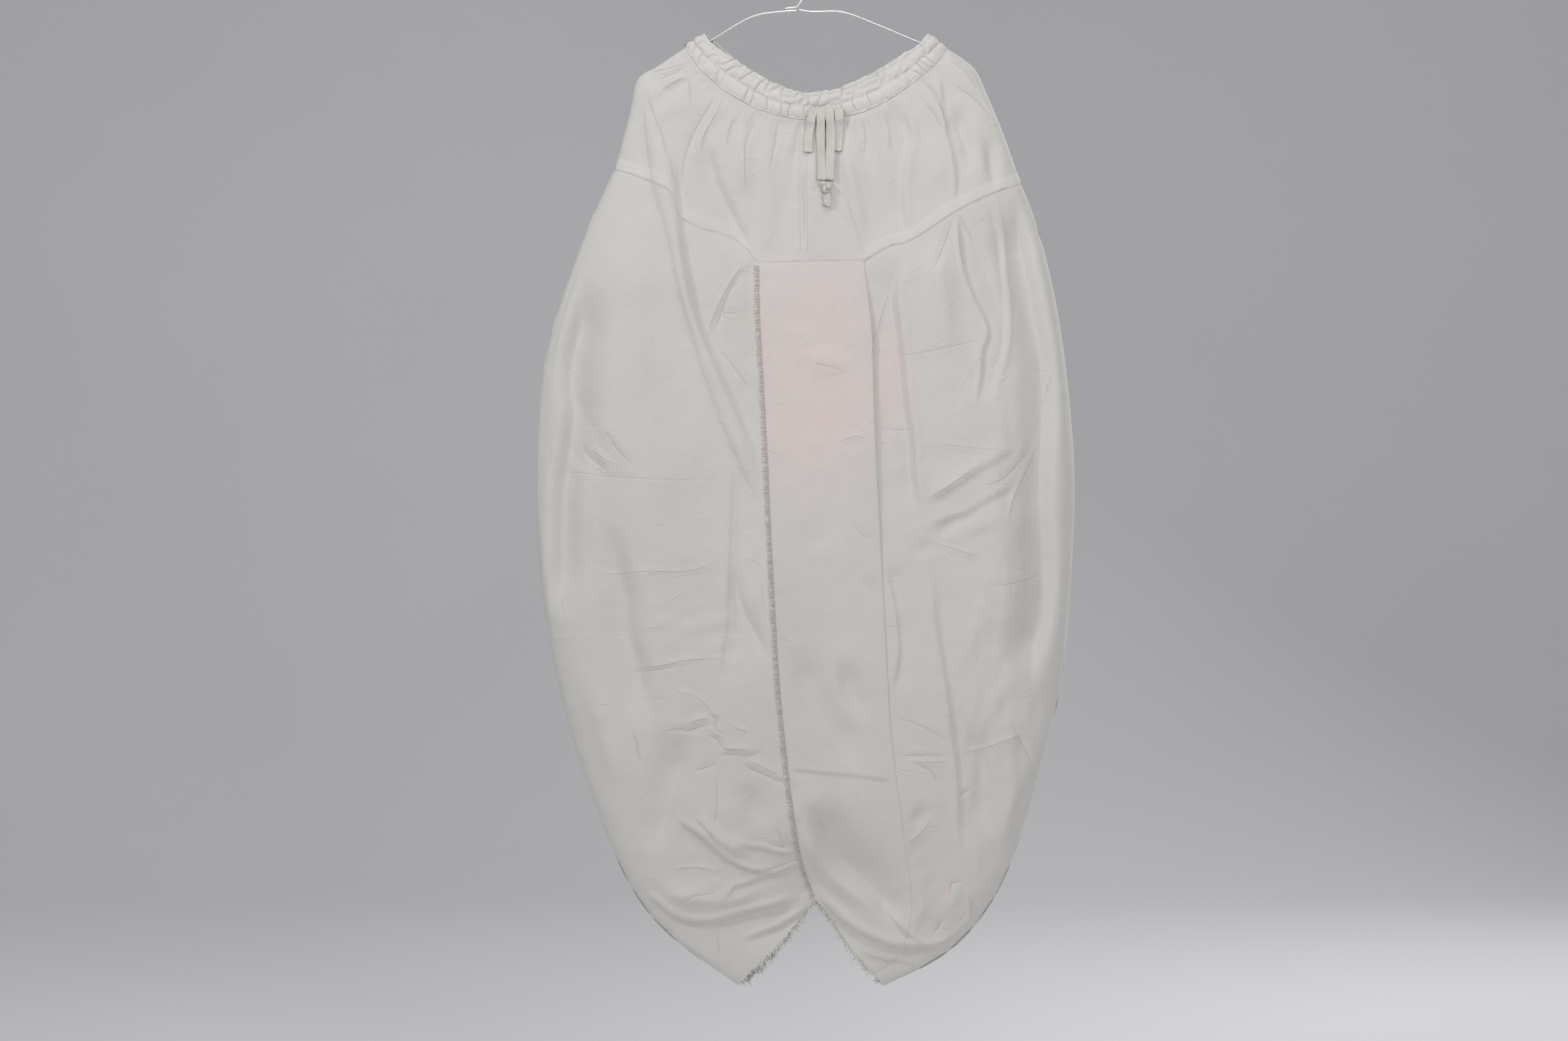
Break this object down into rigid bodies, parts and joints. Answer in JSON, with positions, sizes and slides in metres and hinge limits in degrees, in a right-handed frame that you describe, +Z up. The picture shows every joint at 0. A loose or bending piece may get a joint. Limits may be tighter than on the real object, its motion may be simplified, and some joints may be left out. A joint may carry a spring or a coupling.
{
  "type": "dhoti salwar on a wire hanger",
  "caption": "Low-crotched, balloon-legged cotton trousers with a gathered drawstring waist, hanging over a thin wire hanger.",
  "frame": {"origin": "the point under the top of the hanger's hook, where it hangs on a rail", "axes": "+Z up, the front of the garment faces -Y, +X to the viewer's right when looking at the front"},
  "size_m": [0.6032, 0.0961, 1.1652],
  "materials": {
    "cotton": "matte plain weave",
    "tape": "matte woven tape",
    "wire": "bright drawn wire"
  },
  "bodies": {
    "root": {"waistband": "cotton", "yoke_left": "cotton", "yoke_right": "cotton", "leg_left": "cotton", "leg_right": "cotton", "centre_panel": "cotton", "drawstring_left": "tape", "drawstring_right": "tape", "drawstring_loop": "tape", "drawstring_short": "tape", "drawstring_tail": "tape", "drawstring_knot": "tape", "hanger_hook": "wire", "hanger_frame": "wire"}
  },
  "joints": []
}
